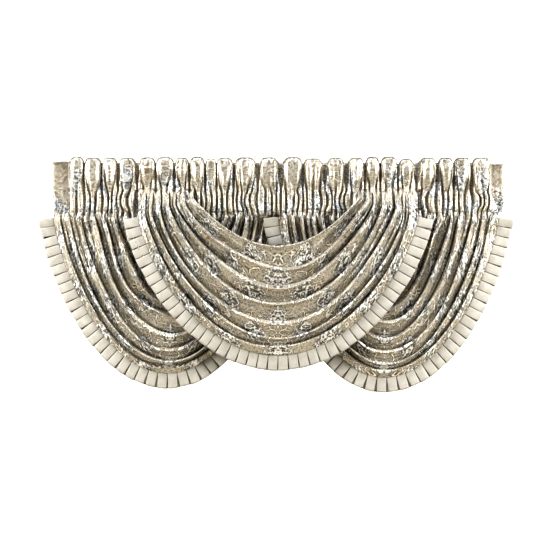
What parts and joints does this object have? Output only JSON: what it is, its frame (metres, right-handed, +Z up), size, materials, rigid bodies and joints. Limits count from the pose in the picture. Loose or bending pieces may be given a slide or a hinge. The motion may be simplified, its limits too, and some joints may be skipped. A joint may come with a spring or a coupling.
{
  "type": "waterfall swag valance",
  "caption": "Window valance of overlapping draped damask swags with box-pleated satin trim, gathered on a rod-pocket heading.",
  "frame": {"origin": "middle of the heading's top edge, inside the rod pocket's top fold", "axes": "+X along the rod towards the right swag as seen from the front, +Z up, front of the cloth towards -Y"},
  "size_m": [1.7569, 0.1111, 0.8719],
  "materials": {
    "damask": "champagne jacquard damask with silver-grey figures, satin sheen",
    "satin": "plain cream satin, pressed box pleats"
  },
  "bodies": {
    "root": {"heading": "damask", "swag_left": "damask", "swag_right": "damask", "swag_centre": "damask", "trim_left": "satin", "trim_right": "satin", "trim_centre": "satin"}
  },
  "joints": []
}
